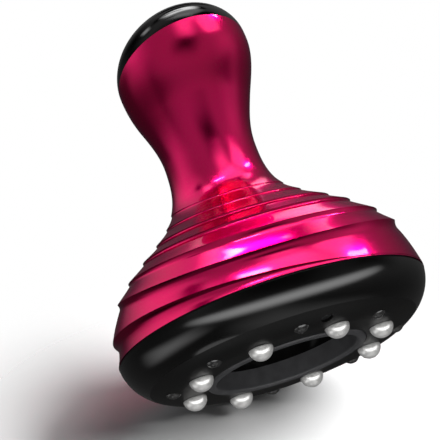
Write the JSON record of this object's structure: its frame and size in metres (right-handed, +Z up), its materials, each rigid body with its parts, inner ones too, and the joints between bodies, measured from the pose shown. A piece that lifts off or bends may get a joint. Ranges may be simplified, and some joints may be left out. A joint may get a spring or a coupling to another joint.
{
  "type": "cupping_massager",
  "caption": "Hand-held electric cupping massager: rippled candy-red casing, ball knob with black control cap, bead ring and suction cup underneath",
  "frame": {"origin": "bottom centre of the bounding box: the point on the base axis level with the tips of the beads it stands on", "axes": "+Z up along the base axis, +Y towards the control cap's buttons, +X to the right seen from the front"},
  "size_m": [0.1048, 0.1048, 0.1297],
  "materials": {
    "casing": "metallic candy red under clear lacquer",
    "black_gloss": "polished black",
    "smoked": "smoked, polished",
    "bead": "polished",
    "steel": "satin",
    "brass_weight": "turned",
    "board": "solder mask",
    "grey_plastic": "moulded",
    "rubber": "matt",
    "clear": "clear",
    "led": "moulded",
    "cell": "heat-shrink film"
  },
  "bodies": {
    "body": {"front_casing": "casing", "rear_casing": "casing", "control_cap": "black_gloss", "display_window": "smoked", "display_module": "grey_plastic", "key_switch_1": "steel", "key_switch_2": "steel", "key_switch_3": "steel", "control_board": "board", "board_screws": "steel", "seam_gasket": "rubber", "base_bowl": "black_gloss", "massage_ring": "black_gloss", "bead_1": "bead", "bead_2": "bead", "bead_3": "bead", "bead_4": "bead", "bead_5": "bead", "bead_6": "bead", "bead_7": "bead", "bead_8": "bead", "bead_magnets": "steel", "lamp_windows": "smoked", "lamp_leds": "clear", "lamp_board": "board", "skin_sensor": "steel", "mouth_seal": "rubber", "suction_cup": "black_gloss", "cup_gasket": "rubber", "cup_screws": "steel", "port_filter": "clear", "filter_cap": "grey_plastic", "cup_lenses": "clear", "cup_leds": "led", "cup_lamp_board": "board", "deck": "grey_plastic", "base_screws": "steel", "casing_screws": "steel", "pump_motor": "steel", "pump_head": "grey_plastic", "suction_tube": "clear", "vent_tube": "clear", "release_valve": "grey_plastic", "valve_spring": "steel", "vibration_motor": "steel", "motor_sleeve": "rubber", "battery_cell": "cell", "battery_cradle": "grey_plastic", "cradle_screws": "steel", "driver_board": "board", "charge_board": "board", "charge_socket": "steel", "wire_loom": "cell"},
    "power_button": {"power_button": "black_gloss"},
    "suction_button": {"suction_button": "black_gloss"},
    "heat_button": {"heat_button": "black_gloss"},
    "pump_crank": {"pump_crank": "steel"},
    "vibration_weight": {"vibration_weight": "brass_weight"},
    "valve_plunger": {"valve_plunger": "steel"}
  },
  "joints": [
    {"name": "power_button_press", "type": "slide", "parent": "body", "child": "power_button", "axis": [0, -0.3289, -0.9444], "range_m": [0, 0.0006], "stiffness_N_per_m": 1500, "springref_m": -0.0004},
    {"name": "suction_button_press", "type": "slide", "parent": "body", "child": "suction_button", "axis": [0, -0.3289, -0.9444], "range_m": [0, 0.0006], "stiffness_N_per_m": 1500, "springref_m": -0.0004},
    {"name": "heat_button_press", "type": "slide", "parent": "body", "child": "heat_button", "axis": [0, -0.3289, -0.9444], "range_m": [0, 0.0006], "stiffness_N_per_m": 1500, "springref_m": -0.0004},
    {"name": "pump_spin", "type": "hinge", "parent": "body", "child": "pump_crank", "pos_m": [-0.0005, -0.014, 0.043], "axis": [1, 0, 0], "continuous": true},
    {"name": "vibration_spin", "type": "hinge", "parent": "body", "child": "vibration_weight", "pos_m": [0.005, 0.017, 0.0425], "axis": [1, 0, 0], "continuous": true},
    {"name": "valve_stroke", "type": "slide", "parent": "body", "child": "valve_plunger", "axis": [0, 0, -1], "range_m": [0, 0.0015], "stiffness_N_per_m": 300, "springref_m": -0.001, "deforming": ["valve_spring"]}
  ]
}
